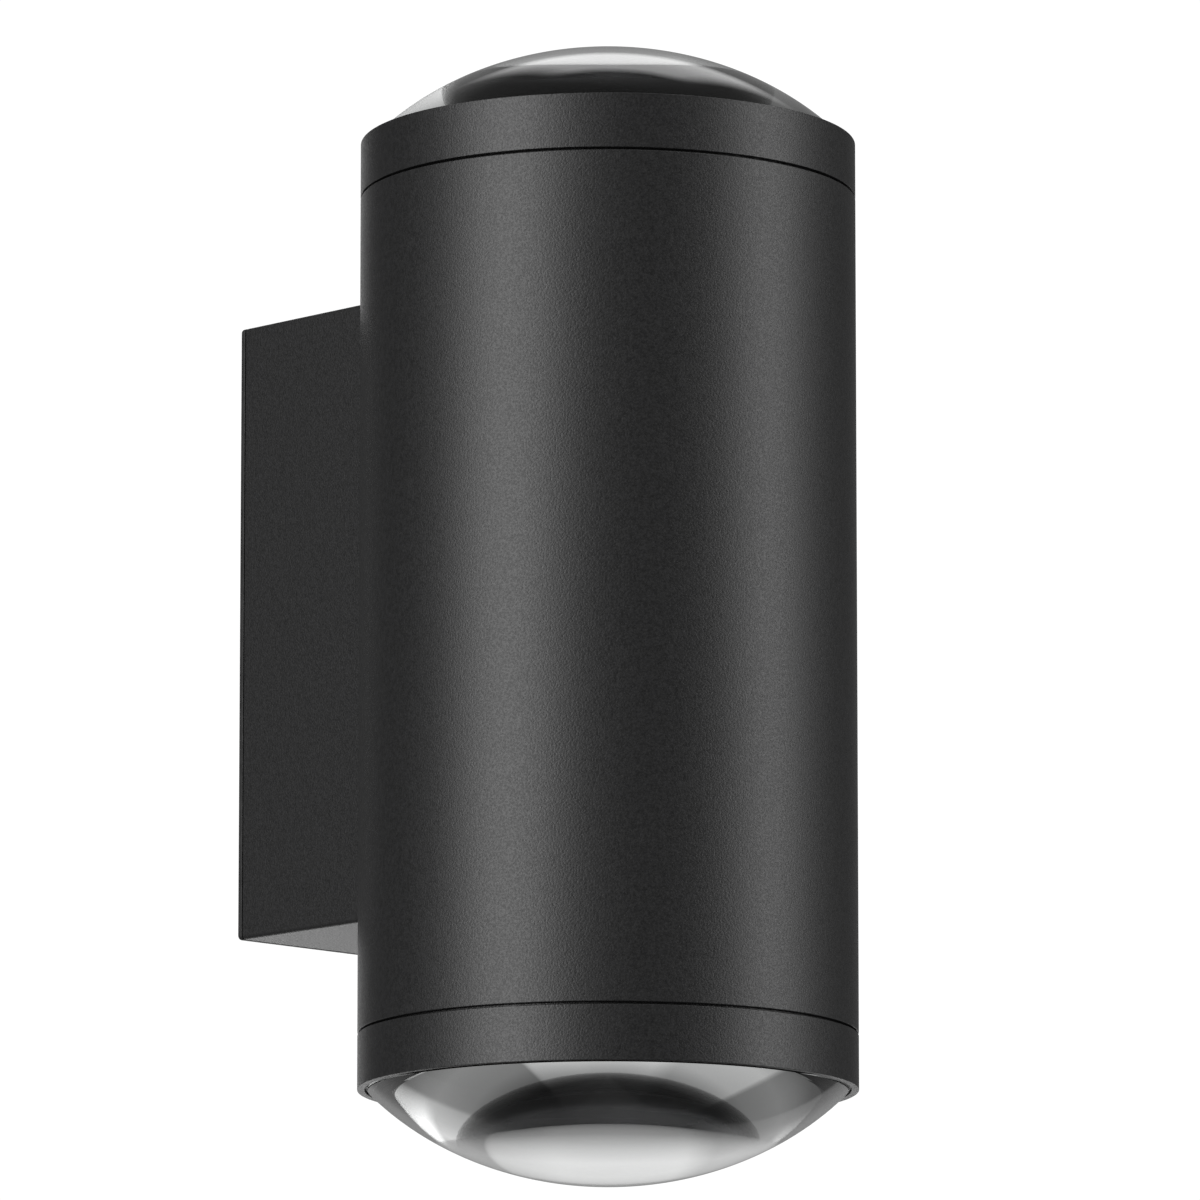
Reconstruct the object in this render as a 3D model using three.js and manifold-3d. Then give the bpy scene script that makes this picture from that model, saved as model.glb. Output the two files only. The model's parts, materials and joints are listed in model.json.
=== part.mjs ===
// Two-way wall light: a round aluminium housing with a glass lens at each end, carried by a box on the wall.
// Millimetres, +Z up, +X to the right seen from the front. The wall is the plane y = 0 and the light hangs
// in front of it, towards -Y. The origin is the centre of the wall plate's back face.
import * as THREE from "three";
import { mergeVertices } from "three/addons/utils/BufferGeometryUtils.js";
import Module from "manifold-3d";

const wasm = await Module();
wasm.setup();

// ---- Driving dimensions -------------------------------------------------------------------------------

const bodyRadius = 52.5; // outside of the tube and of the rings
const tubeLength = 178; // between the shoulders that the rings close on
const tubeBore = 48.5; // inside radius of the tube
const axisToWall = 90; // from the tube's axis to the wall
const tubeDrop = 4.3; // how far the tube's middle hangs below the box's middle

const seamGap = 0.5; // open line between a ring and the tube's shoulder
const rimHeight = 12; // shoulder to the ring's open rim
const ringBore = 51.2; // inside radius of a ring where it screws onto the tube
const mouthBore = 50.95; // and outside its flange, around the lens
const spigotRadius = 50.9; // turned-down end of the tube that the ring screws onto
const spigotHeight = 4.6;

const lensRadius = 50.3;
const lensCurve = { across: 65.8, along: 55.2 }; // half axes of the ellipse that the dome is part of
const lensApex = 31.75; // shoulder to the top of the dome
const lensFlat = 8.6; // shoulder to the lens's flat face

const boxWidth = 48;
const boxHeight = 133.5;
const boxCorner = 1; // edge radius along the box
const boxWall = 2.5;
const wallGasket = 1.2; // thickness of the gasket between box and wall

const portRadius = 4; // the tube's three screw ports
const portCircle = 44.5;
const portAngles = [-90, 30, 150]; // degrees, seen from above; the first faces the front
const portRecess = 34; // shoulder to the end of a port, where the heat sink sits

const fitGap = 0.3; // clearance between pieces that touch
const bedGap = 0.2; // clearance under a screw's head and between stacked flat pieces
const screwHole = { m3: 1.65, m4: 2.2, bracket: 2.65, m5: 2.9 }; // radii
const roundSegments = 40;
const smallSegments = 12;

// ---- Materials ----------------------------------------------------------------------------------------

function finish(name, colour, roughness, metalness) {
  return new THREE.MeshStandardMaterial({ name, color: colour, roughness, metalness });
}

const powderCoat = finish("powder_coat", 0x2b2b2b, 0.55, 0.0);
const glass = finish("glass", 0xf2f5f5, 0.02, 0.0);
const silicone = finish("silicone", 0x151515, 0.6, 0.0);
const aluminium = finish("aluminium", 0xb9bbbd, 0.4, 1.0);
const reflectorFace = finish("reflector", 0x3a3a3b, 0.35, 1.0);
const steel = finish("steel", 0xa8aaad, 0.35, 1.0);
const blackOxide = finish("black_oxide", 0x1e1e1f, 0.45, 1.0);
const brass = finish("brass", 0xb89a55, 0.35, 1.0);
const whitePlastic = finish("white_plastic", 0xe6e5e0, 0.5, 0.0);
const phosphor = finish("phosphor", 0xe3c84a, 0.6, 0.0);
const boardFace = finish("board", 0xdfe3e4, 0.5, 0.0);
const cableSheath = finish("cable", 0x2a2a2c, 0.5, 0.0);
const earthSheath = finish("earth_cable", 0x7f9a2c, 0.5, 0.0);

// ---- Solids -------------------------------------------------------------------------------------------

// A closed three.js geometry as a solid that manifold-3d can cut, with its faces pointing out.
function solid(geometry) {
  const bare = geometry.clone();
  bare.deleteAttribute("normal");
  bare.deleteAttribute("uv");
  const merged = mergeVertices(bare, 1e-4);
  const index = merged.index.array;
  const triangles = [];
  for (let i = 0; i < index.length; i += 3) {
    const [a, b, c] = [index[i], index[i + 1], index[i + 2]];
    if (a !== b && b !== c && c !== a) {
      triangles.push(a, b, c);
    }
  }
  const build = (order) =>
    new wasm.Manifold(
      new wasm.Mesh({
        numProp: 3,
        vertProperties: merged.attributes.position.array,
        triVerts: new Uint32Array(order),
      }),
    );
  const made = build(triangles);
  return made.volume() > 0 ? made : build(triangles.reverse());
}

function geometryOf(shape) {
  const { numProp, vertProperties, triVerts } = shape.getMesh();
  const count = vertProperties.length / numProp;
  const positions = new Float32Array(count * 3);
  for (let i = 0; i < count; i++) {
    positions.set(vertProperties.subarray(i * numProp, i * numProp + 3), i * 3);
  }
  const geometry = new THREE.BufferGeometry();
  geometry.setAttribute("position", new THREE.BufferAttribute(positions, 3));
  geometry.setIndex(new THREE.BufferAttribute(triVerts, 1));
  geometry.computeVertexNormals();
  return geometry;
}

// Turns a profile of [radius, height] points about Z. A profile that leaves the axis closes on itself.
function revolve(profile, segments = roundSegments) {
  const points = profile.map(([r, z]) => new THREE.Vector2(r, z));
  const onAxis = profile[0][0] === 0 && profile.at(-1)[0] === 0;
  if (!onAxis) {
    points.push(points[0].clone());
  }
  return solid(new THREE.LatheGeometry(points, segments).rotateX(Math.PI / 2));
}

// A rod of one radius along Z from z0 to z1, centred on x, y.
function rod(radius, z0, z1, x = 0, y = 0, segments = smallSegments) {
  const made = new THREE.CylinderGeometry(radius, radius, z1 - z0, segments).rotateX(Math.PI / 2);
  return solid(made.translate(x, y, (z0 + z1) / 2));
}

// The same rod laid along Y, from y0 to y1.
function rodAlongY(radius, y0, y1, x = 0, z = 0, segments = smallSegments) {
  const made = new THREE.CylinderGeometry(radius, radius, y1 - y0, segments);
  return solid(made.translate(x, (y0 + y1) / 2, z));
}

function block(x0, x1, y0, y1, z0, z1) {
  const made = new THREE.BoxGeometry(x1 - x0, y1 - y0, z1 - z0);
  return solid(made.translate((x0 + x1) / 2, (y0 + y1) / 2, (z0 + z1) / 2));
}

// A rectangle in X and Z with round corners, extruded along Y from y0 to y1.
function roundedBlock(width, height, corner, y0, y1) {
  const [w, h, r] = [width / 2, height / 2, corner];
  const outline = new THREE.Shape();
  outline.absarc(w - r, h - r, r, 0, Math.PI / 2);
  outline.absarc(-w + r, h - r, r, Math.PI / 2, Math.PI);
  outline.absarc(-w + r, -h + r, r, Math.PI, 1.5 * Math.PI);
  outline.absarc(w - r, -h + r, r, 1.5 * Math.PI, 2 * Math.PI);
  const options = { depth: y1 - y0, bevelEnabled: false, curveSegments: 4 };
  return solid(new THREE.ExtrudeGeometry(outline, options).rotateX(Math.PI / 2).translate(0, y1, 0));
}

// A lead of one radius through the given points, eight-sided.
function lead(points, radius, steps) {
  const corners = [];
  for (let i = 0; i < 8; i++) {
    const angle = (i * Math.PI) / 4;
    corners.push(new THREE.Vector2(radius * Math.cos(angle), radius * Math.sin(angle)));
  }
  const path = new THREE.CatmullRomCurve3(points.map((p) => new THREE.Vector3(...p)), false, "centripetal");
  const options = { steps, extrudePath: path, bevelEnabled: false };
  return solid(new THREE.ExtrudeGeometry(new THREE.Shape(corners), options));
}

function union(shapes) {
  return shapes.reduce((whole, piece) => whole.add(piece));
}

function cut(shape, tools) {
  return tools.reduce((rest, tool) => rest.subtract(tool), shape);
}

function piece(name, shape, material) {
  const mesh = new THREE.Mesh(geometryOf(shape), material);
  mesh.name = name;
  return mesh;
}

// ---- Screws -------------------------------------------------------------------------------------------

// A screw along Z: its head stands on z = 0 and its shank runs down. The hex socket is half the head deep.
function screwShape({ head, headHeight, shank, length, socket }) {
  const profile = [[0, -length], [shank, -length], [shank, 0], [head, 0], [head, headHeight], [0, headHeight]];
  const body = revolve(profile, 10);
  const hexagon = new THREE.CylinderGeometry(socket, socket, headHeight, 6).rotateX(Math.PI / 2);
  return body.subtract(solid(hexagon.translate(0, 0, headHeight)));
}

const screwSizes = {
  m3: { head: 2.7, headHeight: 1.8, shank: 1.45, length: 7, socket: 1.1 },
  m4: { head: 3.5, headHeight: 2.2, shank: 1.95, length: 6.5, socket: 1.4 },
  m5: { head: 4.2, headHeight: 4, shank: 2.45, length: 14, socket: 2.2 },
  foot: { head: 2.7, headHeight: 1.8, shank: 1.45, length: 5.4, socket: 1.1 },
  earth: { head: 2.7, headHeight: 1.8, shank: 1.45, length: 4.2, socket: 1.1 },
  clamp: { head: 1.8, headHeight: 1.2, shank: 1.2, length: 3, socket: 0.8 },
};

// A screw whose shank points along `direction` from its head's seat at `seat`.
function screw(name, size, seat, direction, material) {
  const mesh = piece(name, screwShape(screwSizes[size]), material);
  mesh.position.set(...seat);
  mesh.quaternion.setFromUnitVectors(new THREE.Vector3(0, 0, -1), new THREE.Vector3(...direction));
  return mesh;
}

// ---- Wall side: plate, gasket, grommet, terminals -------------------------------------------------------

const plate = {
  width: 40,
  height: 124,
  thickness: 2,
  screwSlotZ: 50, // the wall screws' slots, above and below the middle
  slotHalfWidth: 2.6,
  slotHalfLength: 3.5,
  cableHole: 7.5,
  cableZ: 36,
  tabHalfWidth: 9,
  tabReach: 26, // how far a folded tab comes forward from the wall
};
const [earthX, earthZ] = [13, 30]; // the earth screw's place on the plate
const [terminalScrewX, terminalScrewZ] = [-12, 22];
const retainingY = -20; // the retaining screws' distance from the wall
const boxInside = boxHeight / 2 - boxWall;

function mountPlate() {
  const front = -plate.thickness;
  const tabOuter = boxInside - fitGap;
  const tabs = [-1, 1].map((side) => {
    const [low, high] = [tabOuter - plate.thickness, tabOuter].map((z) => side * z).sort((a, b) => a - b);
    return block(-plate.tabHalfWidth, plate.tabHalfWidth, -plate.tabReach, 0, low, high);
  });
  const necks = [-1, 1].map((side) => {
    const [low, high] = [plate.height / 2 - 1, tabOuter].map((z) => side * z).sort((a, b) => a - b);
    return block(-plate.tabHalfWidth, plate.tabHalfWidth, front, 0, low, high);
  });
  const slot = (x0, x1, z0, z1) => block(x0, x1, front - 1, 1, z0, z1);
  const { slotHalfWidth: w, slotHalfLength: l, screwSlotZ: z } = plate;
  const upperSlot = union([slot(-l, l, z - w, z + w), ...[-l, l].map((x) => rodAlongY(w, front - 1, 1, x, z))]);
  const lowerSlot = union([
    slot(-w, w, -z - l, -z + l),
    ...[-l, l].map((dz) => rodAlongY(w, front - 1, 1, 0, -z + dz)),
  ]);
  const sheet = roundedBlock(plate.width, plate.height, 3, front, 0);
  return cut(union([sheet, ...necks, ...tabs]), [
    upperSlot,
    lowerSlot,
    rodAlongY(plate.cableHole, front - 1, 1, 0, plate.cableZ, 24),
    rod(screwHole.m4, -boxHeight, boxHeight, 0, retainingY),
    rodAlongY(screwHole.m3, front - 1, 1, earthX, earthZ),
    rodAlongY(screwHole.m3, front - 1, 1, terminalScrewX, terminalScrewZ),
  ]);
}

function wallGasketRing() {
  const outer = roundedBlock(boxWidth, boxHeight, boxCorner, -wallGasket, 0);
  const inset = 2 * boxWall;
  return outer.subtract(roundedBlock(boxWidth - inset, boxHeight - inset, 1, -wallGasket - 1, 1));
}

// Turned about Z with its flange up, to be laid along Y at the plate's cable hole.
function cableGrommet() {
  const [bore, neck, flange] = [4, plate.cableHole - 0.2, 10];
  const flangeSeat = plate.thickness + fitGap;
  return revolve(
    [
      [bore, 0.2],
      [neck, 0.2],
      [neck, flangeSeat],
      [flange, flangeSeat],
      [flange, flangeSeat + 1.6],
      [bore + 2.5, flangeSeat + 4.5],
      [bore, flangeSeat + 4.5],
    ],
    20,
  );
}

const terminal = {
  x0: -6,
  x1: 18,
  y0: -17,
  z0: 9,
  z1: 23,
  poles: 3,
  pitch: 9,
  clampSeat: -15.4,
  clampZ: 16,
  wellRadius: 2.1,
  clampHole: 1.4,
  wireHole: 1.8,
  wireDepth: 5,
  wireY: -8,
  footThickness: 3,
};

function poleX(i) {
  return terminal.x0 + 3 + i * terminal.pitch;
}

function terminalBlock() {
  const { x0, x1, y0, z0, z1, clampSeat, clampZ, wireHole, wireDepth, wireY } = terminal;
  const back = -plate.thickness - fitGap;
  const body = block(x0, x1, y0, back, z0, z1);
  const foot = block(x0 - 10, x0 + 0.5, back - terminal.footThickness, back, z0 + 8, z1 + 3);
  const holes = [];
  for (let i = 0; i < terminal.poles; i++) {
    const x = poleX(i);
    holes.push(rodAlongY(terminal.wellRadius, y0 - 1, clampSeat, x, clampZ));
    holes.push(rodAlongY(terminal.clampHole, y0, clampSeat + 3.4, x, clampZ));
    holes.push(rod(wireHole, z0 - 1, z0 + wireDepth, x, wireY));
    holes.push(rod(wireHole, z1 - wireDepth, z1 + 1, x, wireY));
  }
  holes.push(rodAlongY(screwHole.m3, back - 4, 1, terminalScrewX, terminalScrewZ));
  return cut(union([body, foot]), holes);
}

function wallSide() {
  const group = new THREE.Group();
  const grommet = piece("cable_grommet", cableGrommet(), silicone);
  grommet.position.z = plate.cableZ;
  grommet.rotation.x = Math.PI / 2;
  const back = -plate.thickness;
  group.add(
    piece("mount_plate", mountPlate(), steel),
    piece("wall_gasket", wallGasketRing(), silicone),
    grommet,
    piece("terminal_block", terminalBlock(), whitePlastic),
    screw("terminal_screw", "foot", [terminalScrewX, back - 3.6, terminalScrewZ], [0, 1, 0], steel),
    screw("earth_screw", "earth", [earthX, back - 2.4, earthZ], [0, 1, 0], brass),
  );
  for (let i = 0; i < terminal.poles; i++) {
    const seat = [poleX(i), terminal.clampSeat - bedGap, terminal.clampZ];
    group.add(screw(`clamp_screw_${i + 1}`, "clamp", seat, [0, 1, 0], brass));
  }
  return group;
}

// ---- Box between wall and tube ------------------------------------------------------------------------

const boltHeights = [-24, 24]; // from the tube's middle
const nippleOuter = 4.9;
const saddleGap = 0.4; // between the box's saddle and the tube
const padThickness = 0.8;
const pad = { halfWidth: 17, halfHeight: 34 };
const cavityDepth = 33.5;

// A rod about the tube's axis, long enough to pass through the box.
function aboutTube(radius, halfHeight = boxHeight) {
  return rod(radius, -halfHeight, halfHeight, 0, -axisToWall, 2 * roundSegments);
}

function wallBox() {
  const outer = roundedBlock(boxWidth, boxHeight, boxCorner, -axisToWall, -wallGasket - 0.1);
  const inside = roundedBlock(boxWidth - 2 * boxWall, boxHeight - 2 * boxWall, 1, -cavityDepth, 1);
  const padRecess = aboutTube(bodyRadius + saddleGap + padThickness).intersect(
    block(-pad.halfWidth - 0.5, pad.halfWidth + 0.5, -axisToWall, 0, ...padSpan(0.5)),
  );
  const boltHoles = boltHeights.map((z) => rodAlongY(screwHole.m5, -axisToWall, 0, 0, z - tubeDrop));
  return cut(outer, [
    inside,
    aboutTube(bodyRadius + saddleGap),
    padRecess,
    ...boltHoles,
    rodAlongY(nippleOuter + fitGap, -axisToWall, 0, 0, -tubeDrop),
    rod(screwHole.m4, -boxHeight, boxHeight, 0, retainingY),
  ]);
}

function padSpan(margin) {
  return [-tubeDrop - pad.halfHeight - margin, -tubeDrop + pad.halfHeight + margin];
}

// A curved pad that seals the bolts and the wire passage between the box and the tube.
function saddleGasket() {
  const shell = aboutTube(bodyRadius + saddleGap + padThickness - 0.15).subtract(aboutTube(bodyRadius + 0.15));
  const area = block(-pad.halfWidth, pad.halfWidth, -axisToWall, 0, ...padSpan(0));
  const boltHoles = boltHeights.map((z) => rodAlongY(screwHole.m5, -axisToWall, 0, 0, z - tubeDrop));
  return cut(shell.intersect(area), [
    ...boltHoles,
    rodAlongY(nippleOuter + fitGap, -axisToWall, 0, 0, -tubeDrop),
  ]);
}

const nipple = { bore: 3.6, back: -28, front: -48 };
const nutRadius = 8; // across the nipple nuts' corners, halved
const tubeNut = [-45.6, -42.2]; // the nut inside the tube, front and back

function cableNipple() {
  const { bore, back, front } = nipple;
  const outer = rodAlongY(nippleOuter, front, back, 0, -tubeDrop);
  return outer.subtract(rodAlongY(bore, front - 1, back + 1, 0, -tubeDrop));
}

// A hexagonal nut around the nipple, from y0 to y1.
function nippleNut(y0, y1) {
  const nut = rodAlongY(nutRadius, y0, y1, 0, -tubeDrop, 6);
  return nut.subtract(rodAlongY(nippleOuter + fitGap, y0 - 1, y1 + 1, 0, -tubeDrop));
}

function boxSide() {
  const group = new THREE.Group();
  const seat = -cavityDepth + bedGap;
  group.add(
    piece("wall_box", wallBox(), powderCoat),
    piece("saddle_gasket", saddleGasket(), silicone),
    piece("cable_nipple", cableNipple(), brass),
    piece("nipple_nut_box", nippleNut(seat, seat + 3), brass),
    piece("nipple_nut_tube", nippleNut(...tubeNut), brass),
    screw("box_bolt_lower", "m5", [0, seat, boltHeights[0] - tubeDrop], [0, -1, 0], steel),
    screw("box_bolt_upper", "m5", [0, seat, boltHeights[1] - tubeDrop], [0, -1, 0], steel),
    screw("retaining_screw_upper", "m4", [0, retainingY, boxHeight / 2 + bedGap], [0, 0, -1], blackOxide),
    screw("retaining_screw_lower", "m4", [0, retainingY, -boxHeight / 2 - bedGap], [0, 0, 1], blackOxide),
  );
  return group;
}

// ---- Tube ---------------------------------------------------------------------------------------------
// From here on the pieces are drawn about the tube's own middle, with the tube's axis on Z.

const shoulder = tubeLength / 2;

function housingTube() {
  const [r, s, e] = [bodyRadius, spigotRadius, shoulder + spigotHeight];
  const tube = revolve([
    [tubeBore, -e],
    [s, -e],
    [s, -shoulder],
    [r, -shoulder],
    [r, shoulder],
    [s, shoulder],
    [s, e],
    [tubeBore, e],
  ]);
  const portEnd = shoulder - portRecess;
  const limit = rod(bodyRadius - 1, -portEnd, portEnd, 0, 0, roundSegments);
  const ports = portAngles.map((angle) => {
    const web = block(portCircle, bodyRadius, -portRadius, portRadius, -portEnd, portEnd);
    const port = rod(portRadius, -portEnd, portEnd, portCircle).add(web);
    return port.rotate([0, 0, angle]).intersect(limit);
  });
  const portHoles = portAngles.map((angle) => {
    return rod(screwHole.m3, -portEnd - 1, portEnd + 1, ...onCircle(portCircle, angle));
  });
  const backHoles = [
    ...boltHeights.map((z) => rodAlongY(screwHole.m5, 0, bodyRadius + 1, 0, z)),
    rodAlongY(nippleOuter + fitGap, 0, bodyRadius + 1, 0, 0),
  ];
  return cut(union([tube, ...ports]), [...portHoles, ...backHoles]);
}

function onCircle(radius, degrees) {
  const angle = THREE.MathUtils.degToRad(degrees);
  return [radius * Math.cos(angle), radius * Math.sin(angle)];
}

// ---- Driver -------------------------------------------------------------------------------------------

const driver = { halfWidth: 16, back: 26, front: -2, halfHeight: 27, screwY: 14, mainsZ: 12, ledZ: 16 };
const bracket = { halfWidth: 13, back: 46, thickness: 2, legFront: 4, boss: [41, 48], bossRadius: 5 };

// A U of sheet metal: its back is bolted to the tube and the driver sits between its two legs.
function driverBracket() {
  const { halfWidth: w, back, thickness: t, legFront } = bracket;
  const inner = driver.halfHeight + fitGap;
  const sheet = block(-w, w, back - t, back, -inner - t, inner + t);
  const legs = [-1, 1].map((side) => {
    const [low, high] = [inner, inner + t].map((z) => side * z).sort((a, b) => a - b);
    return block(-w, w, legFront, back, low, high);
  });
  const bosses = boltHeights.map((z) => rodAlongY(bracket.bossRadius, ...bracket.boss, 0, z));
  const holes = [
    ...boltHeights.map((z) => rodAlongY(screwHole.bracket, 30, 50, 0, z)),
    rodAlongY(nutRadius + 1.5, 30, 50, 0, 0, 24),
    rod(screwHole.m3, -inner - 3, inner + 3, 0, driver.screwY),
  ];
  return cut(union([sheet, ...legs, ...bosses]), holes);
}

function driverCase() {
  const { halfWidth: w, back, front, halfHeight: h } = driver;
  const body = block(-w, w, front, back, -h, h);
  return cut(body, [
    rod(screwHole.m3, h - 8, h + 1, 0, driver.screwY),
    rod(screwHole.m3, -h - 1, -h + 8, 0, driver.screwY),
    rodAlongY(3.4, back - 6, back + 1, 0, driver.mainsZ),
    ...[-1, 1].map((side) => rodAlongY(2.2, front - 1, front + 6, 0, side * driver.ledZ)),
  ]);
}

function driverSide() {
  const group = new THREE.Group();
  const legTop = driver.halfHeight + fitGap + bracket.thickness + bedGap;
  group.add(
    piece("driver_bracket", driverBracket(), aluminium),
    piece("driver_case", driverCase(), whitePlastic),
    screw("driver_screw_upper", "m3", [0, driver.screwY, legTop], [0, 0, -1], steel),
    screw("driver_screw_lower", "m3", [0, driver.screwY, -legTop], [0, 0, 1], steel),
  );
  return group;
}

// ---- One end of the light -------------------------------------------------------------------------------
// Drawn with z = 0 at the tube's shoulder and +z pointing out of the tube.

const sink = { back: -portRecess + fitGap, thickness: 4, radius: tubeBore - 0.4 };
const fin = { circle: 38, depth: 10, thickness: 1.6, places: [-28, -20, -12, 12, 20, 28] };
const sinkFace = sink.back + sink.thickness; // outer face of the heat sink's disc
const board = { radius: 21, thickness: 1.6 };
const boardTop = sinkFace + bedGap + board.thickness;
const emitter = { radius: 7, thickness: 0.8 };
const emitterTop = boardTop + bedGap + emitter.thickness;
const holder = { radius: 20, window: 7.6, height: 4, wellRadius: 3, wellDepth: 2.2, screwX: 14 };
const holderTop = boardTop + bedGap + holder.height;
const holderSeat = holderTop - holder.wellDepth; // floor of the holder's screw wells
const leadHole = { y: -26, radius: 3 };
const cup = { neck: 11, mouth: 43, brim: 46.5, top: 3.6, wall: 1 }; // the reflector
const flange = { bore: 45.5, low: 6, high: 7.4 }; // inside a ring, between its two bores
const sealTop = 11.5; // how far the lens seal comes up around the lens

function holderScrewHoles(low, high) {
  return [-1, 1].map((side) => rod(screwHole.m3, low, high, side * holder.screwX, 0));
}

function heatSink() {
  const { back, radius } = sink;
  const disc = revolve([[0, back], [radius, back], [radius, sinkFace], [0, sinkFace]]);
  const fins = fin.places.map((x) => {
    const halfLength = Math.sqrt(fin.circle ** 2 - x ** 2);
    const [left, right] = [x - fin.thickness / 2, x + fin.thickness / 2];
    return block(left, right, -halfLength + 2, halfLength - 6, back - fin.depth, back + 1);
  });
  return cut(union([disc, ...fins]), [
    ...portAngles.map((angle) => rod(screwHole.m3, back - 1, sinkFace + 1, ...onCircle(portCircle, angle))),
    ...holderScrewHoles(back - 1, sinkFace + 1),
    rod(leadHole.radius, back - fin.depth - 1, sinkFace + 1, 0, leadHole.y),
  ]);
}

function ledBoard() {
  const low = sinkFace + bedGap;
  const disc = revolve([[0, low], [board.radius, low], [board.radius, boardTop], [0, boardTop]], 24);
  return cut(disc, holderScrewHoles(low - 1, boardTop + 1));
}

function ledEmitter() {
  const low = boardTop + bedGap;
  return revolve([[0, low], [emitter.radius, low], [emitter.radius, emitterTop], [0, emitterTop]], 20);
}

function ledHolder() {
  const { radius, window, screwX } = holder;
  const low = boardTop + bedGap;
  const chamfer = 2;
  const side = [[radius, low], [radius, holderTop - 1.6], [radius - chamfer, holderTop]];
  const profile = [[window, low], ...side, [window + chamfer, holderTop]];
  return cut(revolve(profile, 24), [
    ...holderScrewHoles(low - 1, holderTop + 1),
    ...[-1, 1].map((side) => rod(holder.wellRadius, holderSeat, holderTop + 1, side * screwX, 0)),
    block(-1.5, 1.5, -radius - 1, -radius + 4, low + 0.8, holderTop + 1), // the lead's notch
  ]);
}

// A spun cup: it widens from the LED holder to the tube's mouth and turns over in a narrow brim.
function reflectorCup() {
  const { neck, mouth, brim, top, wall } = cup;
  const low = holderTop + bedGap;
  const brimUnderside = top - 0.9;
  const outer = [];
  const inner = [];
  for (const share of [0, 0.2, 0.55, 1]) {
    const radius = neck + (mouth - neck) * Math.sqrt(share);
    const z = low + (top - low) * share;
    inner.push([radius, z]);
    outer.unshift([radius + wall, Math.min(z, brimUnderside)]);
  }
  return revolve([...inner, [brim, top], [brim, brimUnderside], ...outer], 24);
}

// The ring's bore is plain; its inner flange carries the lens on one side and the ring gasket on the other.
function endRing() {
  return revolve([
    [bodyRadius, seamGap],
    [bodyRadius, rimHeight],
    [mouthBore, rimHeight],
    [mouthBore, flange.high],
    [flange.bore, flange.high],
    [flange.bore, flange.low],
    [ringBore, flange.low],
    [ringBore, seamGap],
  ]);
}

function ringGasket() {
  const [inner, outer] = [tubeBore + 0.2, spigotRadius - 0.1];
  const [low, high] = [spigotHeight + bedGap, flange.low - bedGap];
  return revolve([[inner, low], [outer, low], [outer, high], [inner, high]]);
}

// An L in section: it beds the lens's flat face and comes up around its edge.
function lensSeal() {
  const [inner, outer, low] = [flange.bore + 0.1, mouthBore - 0.1, flange.high + 0.1];
  return revolve([
    [inner, low],
    [outer, low],
    [outer, sealTop],
    [lensRadius + 0.1, sealTop],
    [lensRadius + 0.1, lensFlat - 0.1],
    [inner, lensFlat - 0.1],
  ]);
}

// Flat towards the tube, domed outwards. The dome is the end of an ellipsoid.
function glassLens() {
  const { across, along } = lensCurve;
  const edge = Math.asin(lensRadius / across);
  const steps = 7;
  const profile = [[0, lensFlat], [lensRadius - 0.4, lensFlat], [lensRadius, lensFlat + 0.4]];
  for (let i = 0; i < steps; i++) {
    const angle = edge * (1 - i / steps);
    profile.push([across * Math.sin(angle), lensApex - along * (1 - Math.cos(angle))]);
  }
  profile.push([0, lensApex]);
  return revolve(profile);
}

// The lead comes from the driver's front, through the heat sink's hole and into the holder's notch.
function ledLead() {
  const back = -shoulder; // the tube's middle, seen from this end
  const points = [
    [0, 2, back + driver.ledZ],
    [0, -8, back + driver.ledZ + 0.5],
    [0, -20, back + 24],
    [0, leadHole.y, back + 36],
    [0, leadHole.y, sinkFace - 8],
    [0, leadHole.y, sinkFace + 1],
    [0, -24.8, sinkFace + 3.4],
    [0, -21.5, sinkFace + 4.3],
    [0, -17, sinkFace + 4.3],
  ];
  return lead(points, 1.2, 18);
}

// `end` is upper or lower.
function lightEnd(end) {
  const group = new THREE.Group();
  group.add(
    piece(`${end}_heat_sink`, heatSink(), aluminium),
    piece(`${end}_led_board`, ledBoard(), boardFace),
    piece(`${end}_led_emitter`, ledEmitter(), phosphor),
    piece(`${end}_led_holder`, ledHolder(), whitePlastic),
    piece(`${end}_reflector`, reflectorCup(), reflectorFace),
    piece(`${end}_ring`, endRing(), powderCoat),
    piece(`${end}_ring_gasket`, ringGasket(), silicone),
    piece(`${end}_lens_seal`, lensSeal(), silicone),
    piece(`${end}_lens`, glassLens(), glass),
    piece(`${end}_led_lead`, ledLead(), cableSheath),
  );
  portAngles.forEach((angle, i) => {
    const [x, y] = onCircle(portCircle, angle);
    group.add(screw(`${end}_sink_screw_${i + 1}`, "m3", [x, y, sinkFace + bedGap], [0, 0, -1], steel));
  });
  ["left", "right"].forEach((side, i) => {
    const x = i === 0 ? -holder.screwX : holder.screwX;
    group.add(screw(`${end}_holder_screw_${side}`, "m3", [x, 0, holderSeat + bedGap], [0, 0, -1], steel));
  });
  return group;
}

// ---- Leads in the box ---------------------------------------------------------------------------------

// From the driver's back, through the nipple, to the terminal block, where its three cores spread out.
function mainsLead() {
  const driverEntry = -axisToWall + driver.back - 3;
  const sheath = lead(
    [
      [0, driverEntry, driver.mainsZ - tubeDrop],
      [0, driverEntry + 5, driver.mainsZ - tubeDrop],
      [0, -53, -1],
      [0, -47, -tubeDrop],
      [0, -30, -tubeDrop],
      [0, -21, -4],
      [3, -15, 0],
    ],
    2.8,
    20,
  );
  const cores = [];
  for (let i = 0; i < terminal.poles; i++) {
    const x = poleX(i);
    const spread = (x - 3) * 0.15;
    const points = [
      [2.4 + spread, -16, -0.8],
      [3.4 + spread * 2, -12.6, 1.6],
      [x, terminal.wireY - 0.4, 6],
      [x, terminal.wireY, terminal.z0 + 3.5],
    ];
    cores.push(lead(points, 0.9, 6));
  }
  return union([sheath, ...cores]);
}

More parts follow.
